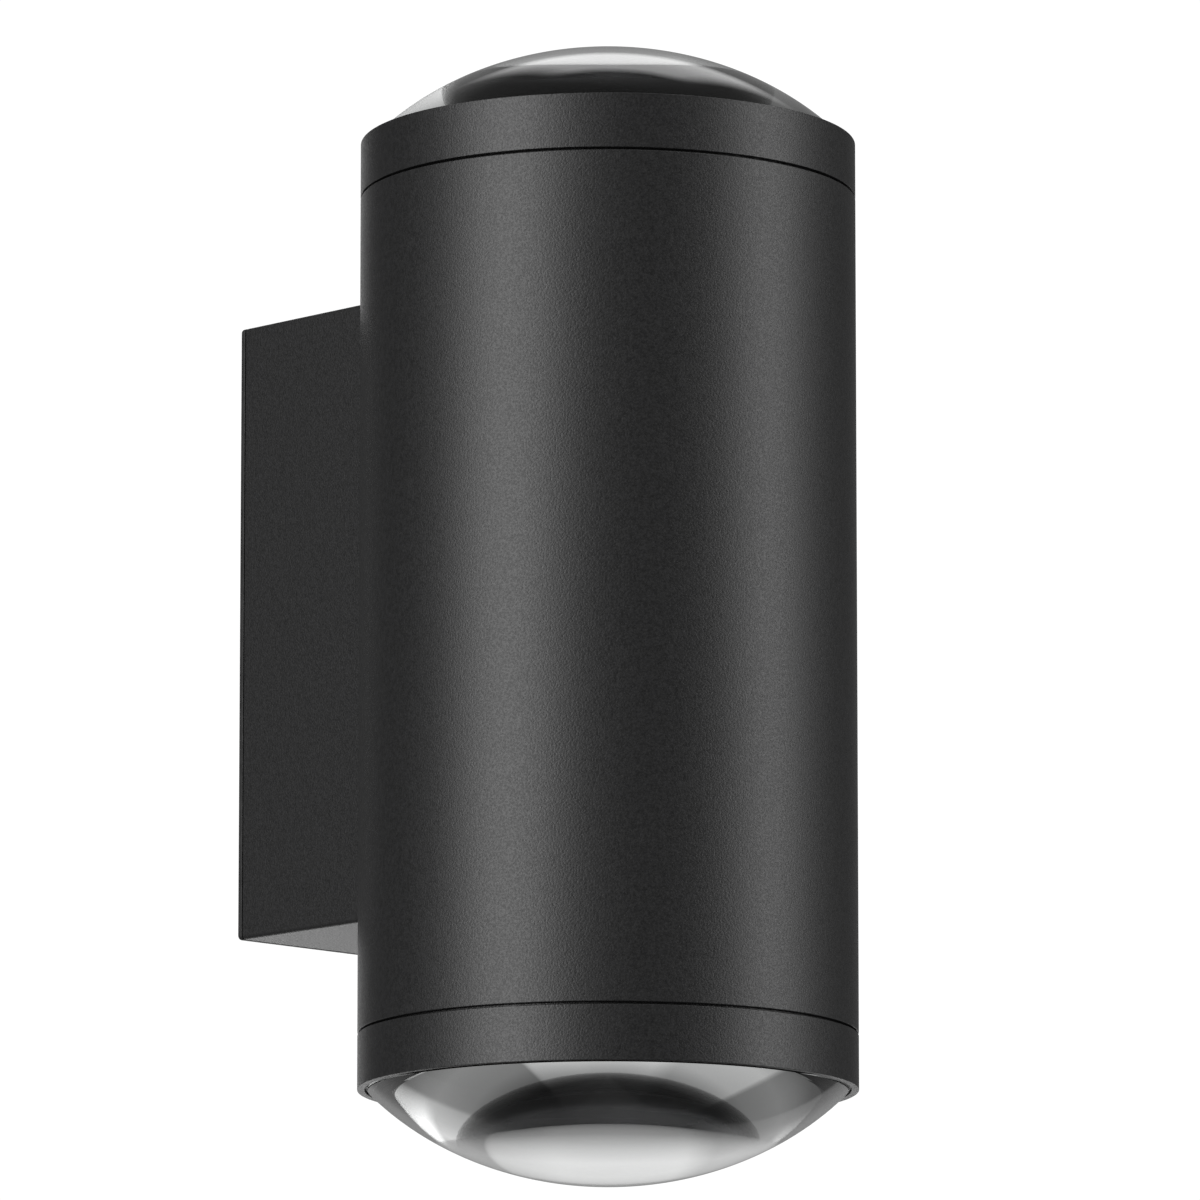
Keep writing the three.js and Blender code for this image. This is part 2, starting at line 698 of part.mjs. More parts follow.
// A ring terminal under the earth screw, and its lead, over and down into the terminal block's last pole.
function earthLead() {
  const x = poleX(terminal.poles - 1);
  const points = [
    [earthX, -3.3, earthZ + 2.6],
    [earthX, -3.6, earthZ + 5],
    [earthX + 0.8, -6.5, earthZ + 6],
    [x, -8.5, earthZ + 3],
    [x, terminal.wireY, terminal.z1 + 1],
    [x, terminal.wireY, terminal.z1 - 3],
  ];
  const eye = rodAlongY(3.2, -4.1, -2.3, earthX, earthZ).subtract(rodAlongY(1.75, -5, -1, earthX, earthZ));
  return eye.add(lead(points, 0.85, 12));
}

// ---- The whole light ----------------------------------------------------------------------------------

const light = new THREE.Group();
light.add(wallSide(), boxSide());
light.add(piece("mains_lead", mainsLead(), cableSheath), piece("earth_lead", earthLead(), earthSheath));

const luminaire = new THREE.Group();
luminaire.position.set(0, -axisToWall, -tubeDrop);
luminaire.add(piece("housing_tube", housingTube(), powderCoat), driverSide());

const upper = lightEnd("upper");
upper.position.z = shoulder;
const lower = lightEnd("lower");
lower.position.z = -shoulder;
lower.rotation.y = Math.PI;
luminaire.add(upper, lower);
light.add(luminaire);

export default light;
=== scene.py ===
"""Looks of the two-way wall light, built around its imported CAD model. Metres, in the CAD's own frame."""

import json
import math

import bmesh
import bpy
from mathutils import Matrix, Vector


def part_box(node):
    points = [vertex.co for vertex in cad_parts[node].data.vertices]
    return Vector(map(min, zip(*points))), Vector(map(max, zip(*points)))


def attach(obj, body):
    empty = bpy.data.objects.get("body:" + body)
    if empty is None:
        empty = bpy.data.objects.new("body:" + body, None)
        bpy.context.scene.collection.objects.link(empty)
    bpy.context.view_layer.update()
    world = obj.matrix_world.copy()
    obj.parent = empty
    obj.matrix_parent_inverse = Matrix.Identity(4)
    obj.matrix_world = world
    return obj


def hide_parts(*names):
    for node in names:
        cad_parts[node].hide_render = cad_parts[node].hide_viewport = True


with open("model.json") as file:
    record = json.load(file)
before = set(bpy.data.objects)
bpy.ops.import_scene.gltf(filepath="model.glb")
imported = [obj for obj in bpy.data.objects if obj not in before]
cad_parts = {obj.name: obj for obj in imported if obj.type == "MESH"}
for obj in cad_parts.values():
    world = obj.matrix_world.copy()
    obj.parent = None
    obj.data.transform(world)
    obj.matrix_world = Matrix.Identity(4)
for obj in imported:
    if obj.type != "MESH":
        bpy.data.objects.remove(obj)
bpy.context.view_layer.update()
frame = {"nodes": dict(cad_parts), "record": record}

MM = 0.001
ROUND = 192  # sides of the large turned pieces
SMALL = 48  # sides of the small ones

# ---- Places and sizes, from the frame ---------------------------------------------------------------------

tube_low, tube_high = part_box("housing_tube")
ring_low, ring_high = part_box("upper_ring")

BODY_RADIUS = (tube_high.x - tube_low.x) / 2 / MM
AXIS_Y = (tube_low.y + tube_high.y) / 2
MIDDLE_Z = (tube_low.z + tube_high.z) / 2
SEAM_GAP = 0.5  # between a ring and the tube's shoulder
SHOULDER = (ring_low.z - MIDDLE_Z) / MM - SEAM_GAP  # from the tube's middle
RIM = (ring_high.z - ring_low.z) / MM + SEAM_GAP  # from the shoulder to a ring's open rim
SPIGOT_END = (tube_high.z - MIDDLE_Z) / MM - SHOULDER

TUBE_BORE = 48.5
SPIGOT = 50.9
RING_BORE = 51.2
MOUTH_BORE = 50.95
THREAD_PITCH = 1.5
PORT_CIRCLE = 44.5
PORT_RADIUS = 4
PORT_ANGLES = (-90, 30, 150)
PORT_RECESS = 34
BOLTS = (-24, 24)  # the two box bolts' heights from the tube's middle
BOLT_HOLE = 2.9
NIPPLE_HOLE = 5.2
M3_HOLE = 1.65  # radius of a hole that an M3 screw passes through
M4_HOLE = 2.2
FLANGE_BORE, FLANGE_LOW, FLANGE_HIGH = 45.5, 6, 7.4  # inside a ring, between its two bores
RING_THREAD_END = 5.6

body_of = {node: body for body, nodes in frame["record"]["behaviour"]["bodies"].items() for node in nodes}
slot_of = {part["node"]: part["material_slot"] for part in frame["record"]["subparts"]}

# The tube's own frame, and a frame at each shoulder whose Z points out of the tube.
TUBE = Matrix.Translation((0, AXIS_Y, MIDDLE_Z))
ENDS = {
    "upper": TUBE @ Matrix.Translation((0, 0, SHOULDER * MM)),
    "lower": TUBE @ Matrix.Translation((0, 0, -SHOULDER * MM)) @ Matrix.Rotation(math.pi, 4, "Y"),
}

# ---- Mesh helpers. Shapes are drawn in millimetres, then placed in metres ---------------------------------


def rounded_outline(corners, steps=4):
    """Points of a closed outline. A corner is (x, y) or (x, y, radius), and a radius rounds it with an arc."""
    points = []
    for i, corner in enumerate(corners):
        here = Vector(corner[:2])
        if len(corner) == 2:
            points.append(here)
            continue
        radius = corner[2]
        back = (Vector(corners[i - 1][:2]) - here).normalized()
        ahead = (Vector(corners[(i + 1) % len(corners)][:2]) - here).normalized()
        half = back.angle(ahead) / 2
        centre = here + (back + ahead).normalized() * (radius / math.sin(half))
        start = here + back * (radius / math.tan(half)) - centre
        sweep = start.angle_signed(here + ahead * (radius / math.tan(half)) - centre)
        for k in range(steps + 1):
            arm = start.copy()
            arm.rotate(Matrix.Rotation(-sweep * k / steps, 2))
            points.append(centre + arm)
    return points


def to_object(name, bm):
    """The bmesh as an object, with faces out and edges over 35 degrees sharp."""
    bmesh.ops.recalc_face_normals(bm, faces=bm.faces)
    mesh = bpy.data.meshes.new(name)
    bm.to_mesh(mesh)
    bm.free()
    obj = bpy.data.objects.new(name, mesh)
    bpy.context.scene.collection.objects.link(obj)
    return sharpen(obj)


def sharpen(obj, degrees=35, grain=0.0005):
    """Welds points closer than the grain, drops slivers and marks the sharp edges."""
    bm = bmesh.new()
    bm.from_mesh(obj.data)
    bmesh.ops.remove_doubles(bm, verts=bm.verts, dist=grain)
    bmesh.ops.dissolve_degenerate(bm, edges=bm.edges, dist=grain)
    for face in bm.faces:
        face.smooth = True
    for edge in bm.edges:
        edge.smooth = edge.calc_face_angle(0.0) < math.radians(degrees)
    bm.to_mesh(obj.data)
    bm.free()
    return obj


def lathe(name, outline, segments=ROUND, radius_at=None):
    """Turns a closed outline of (radius, height) about Z.

    radius_at(radius, height, angle) can bend the surface.
    """
    bm = bmesh.new()
    rings = []
    for radius, height in outline:
        if radius < 1e-6:
            rings.append([bm.verts.new((0, 0, height))] * segments)
            continue
        ring = []
        for k in range(segments):
            angle = 2 * math.pi * k / segments
            r = radius_at(radius, height, angle) if radius_at else radius
            ring.append(bm.verts.new((r * math.cos(angle), r * math.sin(angle), height)))
        rings.append(ring)
    for i, ring in enumerate(rings):
        other = rings[(i + 1) % len(rings)]
        for k in range(segments):
            n = (k + 1) % segments
            corners = list(dict.fromkeys((ring[k], ring[n], other[n], other[k])))
            if len(corners) > 2:
                bm.faces.new(corners)
    return to_object(name, bm)


def rod(radius, start, end, segments=SMALL):
    """A plain round rod between two points, used as a cutting tool or a core."""
    start, end = Vector(start), Vector(end)
    along = end - start
    bm = bmesh.new()
    matrix = Matrix.Translation((start + end) / 2) @ along.to_track_quat("Z", "Y").to_matrix().to_4x4()
    bmesh.ops.create_cone(
        bm, cap_ends=True, segments=segments, radius1=radius, radius2=radius, depth=along.length, matrix=matrix
    )
    return to_object("rod", bm)


def slab(outline, low, high, axis="Z", name="slab"):
    """Extrudes a closed outline along an axis. Z takes (x, y) points, Y takes (x, z) and X takes (y, z)."""
    bm = bmesh.new()
    place = {
        "Z": lambda p, h: (p[0], p[1], h),
        "Y": lambda p, h: (p[0], h, p[1]),
        "X": lambda p, h: (h, p[0], p[1]),
    }
    bottom = [bm.verts.new(place[axis](p, low)) for p in outline]
    top = [bm.verts.new(place[axis](p, high)) for p in outline]
    bm.faces.new(bottom)
    bm.faces.new(top)
    for i in range(len(outline)):
        n = (i + 1) % len(outline)
        bm.faces.new((bottom[i], bottom[n], top[n], top[i]))
    return to_object(name, bm)


def rectangle(x0, x1, y0, y1, radius=None):
    corners = [(x0, y0), (x1, y0), (x1, y1), (x0, y1)]
    return rounded_outline([c + (radius,) for c in corners], 6) if radius else corners


def apply_modifiers(obj):
    graph = bpy.context.evaluated_depsgraph_get()
    mesh = bpy.data.meshes.new_from_object(obj.evaluated_get(graph))
    obj.modifiers.clear()
    obj.data = mesh
    return obj


def combine(obj, operation, *tools):
    """Cuts (DIFFERENCE), joins (UNION) or keeps what is common (INTERSECT) with each tool.

    The tools are dropped afterwards.
    """
    for tool in tools:
        modifier = obj.modifiers.new("combine", "BOOLEAN")
        modifier.operation = operation
        modifier.object = tool
        modifier.solver = "EXACT"
        apply_modifiers(obj)
        bpy.data.objects.remove(tool)
    return sharpen(obj)


def cut(obj, *tools):
    return combine(obj, "DIFFERENCE", *tools)


def join(obj, *tools):
    return combine(obj, "UNION", *tools)


def flatten_faces(obj):
    """Lets the larger faces set the shading, so that flat faces stay flat beside their rounded edges."""
    modifier = obj.modifiers.new("flatten", "WEIGHTED_NORMAL")
    modifier.keep_sharp = True
    return apply_modifiers(obj)


def soften(obj, width, segments=2, degrees=40):
    """Rounds every edge sharper than the angle."""
    modifier = obj.modifiers.new("soften", "BEVEL")
    modifier.width = width
    modifier.segments = segments
    modifier.limit_method = "ANGLE"
    modifier.angle_limit = math.radians(degrees)
    modifier.use_clamp_overlap = True
    apply_modifiers(obj)
    return sharpen(obj)


def on_circle(radius, degrees):
    return radius * math.cos(math.radians(degrees)), radius * math.sin(math.radians(degrees))


# ---- Materials --------------------------------------------------------------------------------------------


class Finish:
    """A Principled material with short calls for the nodes that the finishes share."""

    def __init__(self, name, **sockets):
        self.material = bpy.data.materials.new(name)
        self.material.use_nodes = True
        self.tree = self.material.node_tree
        self.shader = self.tree.nodes["Principled BSDF"]
        self.coordinates = self.tree.nodes.new("ShaderNodeTexCoord").outputs["Object"]
        for socket, value in sockets.items():
            self.shader.inputs[socket.replace("_", " ")].default_value = value

    def noise(self, size, detail=3.0, stretch=(1, 1, 1)):
        """Noise whose features are about size metres across."""
        mapping = self.tree.nodes.new("ShaderNodeMapping")
        mapping.inputs["Scale"].default_value = stretch
        self.tree.links.new(self.coordinates, mapping.inputs["Vector"])
        noise = self.tree.nodes.new("ShaderNodeTexNoise")
        noise.inputs["Scale"].default_value = 1 / size
        noise.inputs["Detail"].default_value = detail
        self.tree.links.new(mapping.outputs["Vector"], noise.inputs["Vector"])
        return noise.outputs["Fac"]

    def ramp(self, source, low, high, start=0.35, end=0.65):
        """The source's middle range spread between two values or colours."""
        if isinstance(low, (int, float)):
            ramp = self.tree.nodes.new("ShaderNodeMapRange")
            for socket, value in zip(("From Min", "From Max", "To Min", "To Max"), (start, end, low, high)):
                ramp.inputs[socket].default_value = value
            self.tree.links.new(source, ramp.inputs["Value"])
            return ramp.outputs["Result"]
        ramp = self.tree.nodes.new("ShaderNodeValToRGB")
        first, last = ramp.color_ramp.elements
        first.position, first.color = start, (*low, 1)
        last.position, last.color = end, (*high, 1)
        self.tree.links.new(source, ramp.inputs["Fac"])
        return ramp.outputs["Color"]

    def bump(self, *layers):
        """Stacks (source, depth in metres) height layers."""
        normal = None
        for source, depth in layers:
            bump = self.tree.nodes.new("ShaderNodeBump")
            bump.inputs["Strength"].default_value = 1.0
            bump.inputs["Distance"].default_value = depth
            self.tree.links.new(source, bump.inputs["Height"])
            if normal:
                self.tree.links.new(normal, bump.inputs["Normal"])
            normal = bump.outputs["Normal"]
        self.tree.links.new(normal, self.shader.inputs["Normal"])

    def drive(self, socket, source):
        self.tree.links.new(source, self.shader.inputs[socket])


def powder_coat():
    """Fine-textured black powder coat: small cured grains over a slow orange peel."""
    f = Finish("powder_coat", IOR=1.5)
    grain = f.noise(0.00042, 1.0)
    f.drive("Base Color", f.ramp(f.noise(0.0011, 3.0), (0.004, 0.004, 0.0042), (0.009, 0.009, 0.0094)))
    f.drive("Roughness", f.ramp(grain, 0.40, 0.52))
    f.bump((f.noise(0.005, 2.0), 0.00002), (grain, 0.00006))
    return f.material


def glass():
    f = Finish("glass", Base_Color=(0.985, 0.995, 0.99, 1), Transmission_Weight=1.0, IOR=1.5)
    f.drive("Roughness", f.ramp(f.noise(0.02, 3.0), 0.0, 0.003))
    return f.material


def silicone():
    f = Finish("silicone", IOR=1.42)
    f.drive("Base Color", f.ramp(f.noise(0.004, 4.0), (0.008, 0.008, 0.008), (0.018, 0.018, 0.018)))
    f.drive("Roughness", f.ramp(f.noise(0.0015, 2.0), 0.5, 0.68))
    f.bump((f.noise(0.0006, 2.0), 0.00001))
    return f.material


def machined(name, colour, roughness, size=0.0006):
    """Bare or plated metal with fine tool marks along X and slow changes of tone."""
    f = Finish(name, Metallic=1.0)
    dark = tuple(c * 0.86 for c in colour)
    f.drive("Base Color", f.ramp(f.noise(0.012, 3.0), dark, colour))
    f.drive("Roughness", f.ramp(f.noise(size * 3, 2.0, (0.15, 1, 1)), roughness - 0.03, roughness + 0.07))
    f.bump((f.noise(size, 1.0, (0.08, 1, 1)), 0.0000012))
    return f.material


def moulded(name, colour, roughness):
    """Moulded plastic with a fine spark-eroded grain."""
    f = Finish(name, IOR=1.48)
    dark = tuple(c * 0.93 for c in colour)
    f.drive("Base Color", f.ramp(f.noise(0.01, 3.0), dark, colour))
    f.drive("Roughness", f.ramp(f.noise(0.001, 2.0), roughness - 0.06, roughness + 0.08))
    f.bump((f.noise(0.0004, 2.0), 0.000008))
    return f.material


def phosphor():
    f = Finish("phosphor", IOR=1.41)
    f.drive("Base Color", f.ramp(f.noise(0.0003, 2.0), (0.74, 0.50, 0.05), (0.86, 0.64, 0.09)))
    f.drive("Roughness", f.ramp(f.noise(0.001, 2.0), 0.25, 0.4))
    f.bump((f.noise(0.0003, 2.0), 0.000008))
    return f.material


MATERIALS = {
    "powder_coat": powder_coat(),
    "glass": glass(),
    "silicone": silicone(),
    "aluminium": machined("aluminium", (0.62, 0.63, 0.64), 0.34),
    "reflector": machined("reflector", (0.34, 0.34, 0.35), 0.24),
    "steel": machined("steel", (0.50, 0.51, 0.53), 0.34),
    "black_oxide": machined("black_oxide", (0.030, 0.030, 0.033), 0.42),
    "brass": machined("brass", (0.60, 0.43, 0.17), 0.3),
    "white_plastic": moulded("white_plastic", (0.74, 0.74, 0.71), 0.42),
    "phosphor": phosphor(),
    "board": moulded("board", (0.70, 0.72, 0.73), 0.3),
    "cable": moulded("cable", (0.020, 0.020, 0.021), 0.45),
    "earth_cable": moulded("earth_cable", (0.16, 0.27, 0.02), 0.42),
}


def stand_for(obj, node, matrix=Matrix()):
    """Places a finished piece, drawn in millimetres in that frame, as what is seen of a CAD node."""
    obj.data.transform(matrix @ Matrix.Scale(MM, 4))
    flatten_faces(obj)
    obj.data.materials.clear()
    obj.data.materials.append(MATERIALS[slot_of[node]])
    obj.name = obj.data.name = node + "_fine"
    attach(obj, body_of[node])
    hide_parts(node)
    return obj


# ---- Camera, light and floor ------------------------------------------------------------------------------


def make_camera():
    data = bpy.data.cameras.new("camera")
    camera = bpy.data.objects.new("camera", data)
    bpy.context.scene.collection.objects.link(camera)
    azimuth, rise, turn = math.radians(-43.545), math.radians(9.74), math.radians(0.045)
    distance = 2.1501
    camera.location = (
        distance * math.sin(azimuth),
        AXIS_Y - distance * math.cos(azimuth),
        MIDDLE_Z - 0.3659,
    )
    camera.rotation_euler = (math.pi / 2 + rise, 0, azimuth + turn)
    data.sensor_width = 36
    data.lens = 310.4
    data.clip_start, data.clip_end = 0.05, 200
    bpy.context.scene.camera = camera


# The lenses are left to the world's light, so that no soft box shows as a hard patch in the glass.
unlit_by_boxes = bpy.data.collections.new("unlit_by_boxes")


def soft_box(name, azimuth, elevation, distance, width, height, power):
    """A rectangular light that faces the middle of the tube. Azimuth 0 is in front and 90 to the right."""
    a, e = math.radians(azimuth), math.radians(elevation)
    out = Vector((math.sin(a) * math.cos(e), -math.cos(a) * math.cos(e), math.sin(e)))
    data = bpy.data.lights.new(name, "AREA")
    data.shape = "RECTANGLE"
    data.size, data.size_y = width, height
    data.energy = power
    light = bpy.data.objects.new(name, data)
    light.location = Vector((0, AXIS_Y, MIDDLE_Z)) + out * distance
    light.rotation_euler = (-out).to_track_quat("-Z", "Y").to_euler()
    light.visible_camera = False
    light.visible_transmission = False
    light.light_linking.receiver_collection = unlit_by_boxes
    bpy.context.scene.collection.objects.link(light)


def leave_unlit(obj):
    unlit_by_boxes.objects.link(obj)
    for entry in unlit_by_boxes.collection_objects:
        entry.light_linking.link_state = "EXCLUDE"


BEHIND = 136.5  # azimuth of the far side, straight away from the camera


def smooth_ramp(tree, source, *stops):
    """A ramp of grey levels: each stop is (position from 0 to 1, level)."""
    ramp = tree.nodes.new("ShaderNodeValToRGB")
    while len(ramp.color_ramp.elements) < len(stops):
        ramp.color_ramp.elements.new(0.5)
    for element, (position, level) in zip(ramp.color_ramp.elements, stops):
        element.position, element.color = position, (level, level, level, 1)
    tree.links.new(source, ramp.inputs["Fac"])
    return ramp.outputs["Color"]


def math_node(tree, operation, *values):
    node = tree.nodes.new("ShaderNodeMath")
    node.operation = operation
    for socket, value in zip(node.inputs, values):
        if isinstance(value, (int, float)):
            socket.default_value = value
        else:
            tree.links.new(value, socket)
    return node.outputs["Value"]


def make_world():
    """White to the camera. Surfaces see a dim room over a pale ground, brightest on the far side.

    The glass also sees through itself to the two side strips, whose own lamps are hidden from it.
    """
    world = bpy.data.worlds.new("world")
    world.use_nodes = True
    bpy.context.scene.world = world
    tree = world.node_tree
    nodes, links = tree.nodes, tree.links
    turned = nodes.new("ShaderNodeVectorRotate")
    turned.rotation_type = "Z_AXIS"
    turned.inputs["Angle"].default_value = math.radians(90 - BEHIND)
    links.new(nodes.new("ShaderNodeTexCoord").outputs["Generated"], turned.inputs["Vector"])
    split = nodes.new("ShaderNodeSeparateXYZ")
    links.new(turned.outputs["Vector"], split.inputs["Vector"])
    bearing = math_node(tree, "ARCTAN2", split.outputs["Y"], split.outputs["X"])
    around = math_node(tree, "MULTIPLY_ADD", bearing, 1 / (2 * math.pi), 0.5)
    steepness = math_node(tree, "ARCSINE", split.outputs["Z"])
    upward = math_node(tree, "MULTIPLY_ADD", steepness, 1 / math.pi, 0.5)

    def at(degrees):
        return 0.5 + degrees / 360

    def height(degrees):
        return 0.5 + degrees / 180

    by_bearing = smooth_ramp(
        tree, around, (at(-110), 0.20), (at(-90), 0.80), (at(-66), 0.48), (at(-63), 0.27), (at(-25.8), 0.26),
        (at(-25.2), 0.62), (at(-10), 0.86), (at(15), 0.86), (at(22), 0.54), (at(48), 0.50), (at(50), 0.22),
        (at(80), 0.22), (at(100), 0.30),
    )
    by_height = smooth_ramp(
        tree, upward, (height(-50), 0.16), (height(-36), 0.75), (height(-20), 0.95), (height(-11), 0.75),
        (height(1), 0.38), (height(10), 0.31), (height(34), 0.24), (height(50), 0.0),
    )
    glow = nodes.new("ShaderNodeVectorMath")
    glow.operation = "MULTIPLY"
    links.new(by_bearing, glow.inputs[0])
    links.new(by_height, glow.inputs[1])
    window_height = smooth_ramp(
        tree, upward, (height(34), 0.0), (height(39), 1.0), (height(54), 1.0), (height(59), 0.0)
    )
    window_width = smooth_ramp(tree, around, (at(-22), 0.0), (at(-15), 1.0), (at(8), 1.0), (at(15), 0.0))
    ceiling = smooth_ramp(tree, upward, (height(20), 0.0), (height(40), 0.09))
    window = math_node(tree, "MULTIPLY", window_height, window_width)
    above = math_node(tree, "MULTIPLY_ADD", window, 1.4, ceiling)
    path = nodes.new("ShaderNodeLightPath")
    strips_height = smooth_ramp(
        tree, upward, (height(-20), 0.0), (height(-13), 1.0), (height(36), 1.0), (height(42), 0.0)
    )
    strips_width = smooth_ramp(
        tree, around, (at(-112), 0.0), (at(-98), 0.82), (at(-88), 0.68), (at(-80), 0.40), (at(-64), 0.0),
        (at(84), 0.0), (at(104), 0.35), (at(114), 0.0),
    )
    strips = math_node(tree, "MULTIPLY", strips_height, strips_width)
    through_glass = math_node(tree, "MULTIPLY", path.outputs["Is Transmission Ray"], 2.0)
    above = math_node(tree, "MULTIPLY_ADD", strips, through_glass, above)
    total = nodes.new("ShaderNodeVectorMath")
    links.new(glow.outputs["Vector"], total.inputs[0])
    links.new(above, total.inputs[1])
    room = nodes["Background"]
    links.new(total.outputs["Vector"], room.inputs["Color"])
    white = nodes.new("ShaderNodeBackground")
    white.inputs["Color"].default_value = (1, 1, 1, 1)
    white.inputs["Strength"].default_value = 1.05
    mix = nodes.new("ShaderNodeMixShader")
    links.new(path.outputs["Is Camera Ray"], mix.inputs["Fac"])
    links.new(room.outputs["Background"], mix.inputs[1])
    links.new(white.outputs["Background"], mix.inputs[2])
    links.new(mix.outputs["Shader"], nodes["World Output"].inputs["Surface"])


def make_floor():
    """A plain pale floor that only the camera sees, so that the world alone lights the object from below."""
    size, height = 40, -0.95
    bm = bmesh.new()
    matrix = Matrix.Translation((0, 0, height))
    bmesh.ops.create_grid(bm, x_segments=1, y_segments=1, size=size, matrix=matrix)
    mesh = bpy.data.meshes.new("floor")
    bm.to_mesh(mesh)
    bm.free()
    floor = bpy.data.objects.new("floor", mesh)
    bpy.context.scene.collection.objects.link(floor)
    for ray in ("diffuse", "glossy", "transmission", "volume_scatter", "shadow"):
        setattr(floor, f"visible_{ray}", False)
    f = Finish("floor", Roughness=0.9, Emission_Strength=0.75)
    f.shader.inputs["Emission Color"].default_value = (1, 1, 1, 1)
    f.drive("Base Color", f.ramp(f.noise(0.5, 3.0), (0.80, 0.80, 0.80), (0.84, 0.84, 0.84)))
    mesh.materials.append(f.material)


def make_studio():
    bpy.context.scene.view_settings.view_transform = "Standard"
    make_world()
    make_floor()
    soft_box("left_strip", -90, 12, 2.2, 1.35, 3.2, 76)
    soft_box("right_strip", 34, 12, 2.2, 0.9, 3.2, 43)
    soft_box("rim_strip", 152, 0, 2.4, 0.9, 3.2, 9)
    soft_box("top_box", 20, 75, 2.4, 1.6, 1.6, 12)
    soft_box("ground_box", 137, -12, 2.4, 1.4, 0.6, 2.2)


# ---- Tube, rings and lenses -------------------------------------------------------------------------------


def thread(depth, outward, start, end):
    """A radius_at for lathe: a helical groove of one pitch between two heights, faded out at its ends."""

    def radius_at(radius, height, angle):
        low, high = min(start, end), max(start, end)
        if not low < abs(height) < high:
            return radius
        phase = (abs(height) / THREAD_PITCH - angle / (2 * math.pi)) % 1
        groove = 1 - abs(2 * phase - 1)
        fade = min(1, (abs(height) - low) / 0.4, (high - abs(height)) / 0.4)
        return radius + (depth if outward else -depth) * groove * fade

    return radius_at


def steps(low, high, size):
    """Heights from low to high, size or less apart, without the two ends."""
    count = math.ceil(abs(high - low) / size)
    return [low + (high - low) * k / count for k in range(1, count)]


def make_tube():
    end = SHOULDER + SPIGOT_END
    half = [(BODY_RADIUS, SHOULDER, 0.25), (SPIGOT, SHOULDER)]
    half += [(SPIGOT, z) for z in steps(SHOULDER, end - 0.4, 0.15)]
    half += [(SPIGOT, end, 0.3), (TUBE_BORE, end, 0.3)]
    other = [(c[0], -c[1], *c[2:]) for c in reversed(half)]
    outline = rounded_outline(half + other)

    groove = thread(0.6, False, SHOULDER + 0.4, end - 0.3)

    def radius_at(radius, height, angle):
        return radius if abs(radius - SPIGOT) > 0.01 else groove(radius, height, angle)

    tube = lathe("tube", outline, ROUND, radius_at)
    port_end = SHOULDER - PORT_RECESS
    for angle in PORT_ANGLES:
        x, y = on_circle(PORT_CIRCLE, angle)
        outer_x, outer_y = on_circle(PORT_CIRCLE + 2.6, angle)
        port = rod(PORT_RADIUS, (x, y, -port_end), (x, y, port_end), 24)
        web = rod(PORT_RADIUS - 0.3, (outer_x, outer_y, -port_end), (outer_x, outer_y, port_end), 24)
        join(tube, port, web)
        cut(tube, rod(1.5, (x, y, -port_end - 1), (x, y, port_end + 1), 24))
    for z in BOLTS:
        cut(tube, rod(BOLT_HOLE, (0, 40, z), (0, BODY_RADIUS + 1, z)))
    cut(tube, rod(NIPPLE_HOLE, (0, 40, 0), (0, BODY_RADIUS + 1, 0)))
    stand_for(tube, "housing_tube", TUBE)


def make_ring(end):
    thread_start = SEAM_GAP + 0.3
    corners = [(BODY_RADIUS, SEAM_GAP, 0.15), (BODY_RADIUS, RIM, 0.1), (MOUTH_BORE, RIM, 0.1)]
    corners += [(MOUTH_BORE, FLANGE_HIGH), (FLANGE_BORE, FLANGE_HIGH, 0.2)]
    corners += [(FLANGE_BORE, FLANGE_LOW, 0.2), (RING_BORE, FLANGE_LOW)]
    corners += [(RING_BORE, z) for z in steps(RING_THREAD_END, thread_start, 0.15)]
    corners += [(RING_BORE, SEAM_GAP)]
    groove = thread(0.3, True, thread_start, RING_THREAD_END)

    def radius_at(radius, height, angle):
        if abs(radius - RING_BORE) > 0.01 or height > RING_THREAD_END:
            return radius
        return groove(radius, height, angle)

    stand_for(lathe("ring", rounded_outline(corners), ROUND, radius_at), f"{end}_ring", ENDS[end])


LENS_RADIUS = 50.3
LENS_ACROSS, LENS_ALONG = 65.8, 55.2  # half axes of the ellipse that the dome is part of
LENS_APEX = 31.75
LENS_FLAT = 8.6
SEAL_TOP = 11.5


def make_lens(end):
    edge = math.asin(LENS_RADIUS / LENS_ACROSS)
    arcs = 72
    dome = []
    for k in range(arcs + 1):
        angle = edge * (1 - k / arcs)
        dome.append((LENS_ACROSS * math.sin(angle), LENS_APEX - LENS_ALONG * (1 - math.cos(angle))))
    outline = [(0, LENS_FLAT), (LENS_RADIUS - 0.4, LENS_FLAT), (LENS_RADIUS, LENS_FLAT + 0.4)] + dome
    leave_unlit(stand_for(lathe("lens", outline, 2 * ROUND), f"{end}_lens", ENDS[end]))


def make_seals(end):
    """The lens seal is bonded to the glass, so its faces reach a hair into the lens and no air shows between."""
    outer, inner, bed = MOUTH_BORE - 0.1, LENS_RADIUS - 0.02, LENS_FLAT + 0.02
    seal = [(45.6, 7.5, 0.2), (outer, 7.5, 0.2), (outer, SEAL_TOP, 0.05)]
    seal += [(inner, SEAL_TOP, 0.05), (inner, bed), (45.6, bed, 0.1)]
    stand_for(lathe("seal", rounded_outline(seal)), f"{end}_lens_seal", ENDS[end])
    gasket = [(48.7, 4.8, 0.25), (50.8, 4.8, 0.25), (50.8, 5.8, 0.25), (48.7, 5.8, 0.25)]
    stand_for(lathe("gasket", rounded_outline(gasket)), f"{end}_ring_gasket", ENDS[end])


